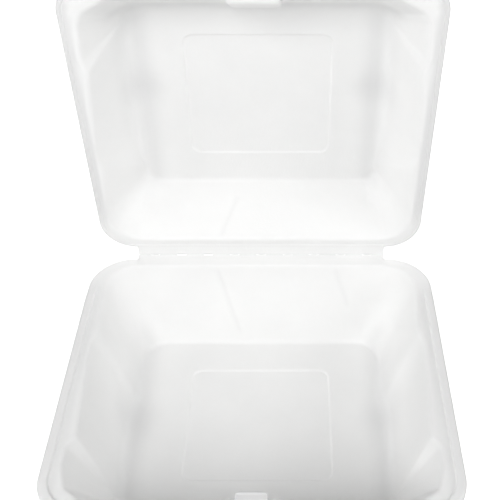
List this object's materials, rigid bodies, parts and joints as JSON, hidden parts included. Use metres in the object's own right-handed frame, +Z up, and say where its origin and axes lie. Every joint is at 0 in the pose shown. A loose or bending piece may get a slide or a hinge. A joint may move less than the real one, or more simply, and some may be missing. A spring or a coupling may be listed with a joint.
{
  "type": "foam clamshell container",
  "caption": "Square white foam take-away box, standing open: a deep tray and a shallower lid joined along a perforated fold, with a tongue-and-slot lock.",
  "frame": {"origin": "on the flat underside of the tray, below the middle of the panel in its floor", "axes": "+Z up, +X to the right of someone who faces the open box, +Y back towards the fold"},
  "size_m": [0.213, 0.2349, 0.249],
  "materials": {
    "foam": "white polystyrene foam with a smooth, faintly satin skin"
  },
  "bodies": {
    "tray": {"base_tray": "foam"},
    "lid": {"lid": "foam"}
  },
  "joints": [
    {"name": "lid_fold", "type": "hinge", "parent": "tray", "child": "lid", "pos_m": [0, 0.0923, 0.05755], "axis": [1, 0, 0], "range_deg": [-96, 84]}
  ]
}
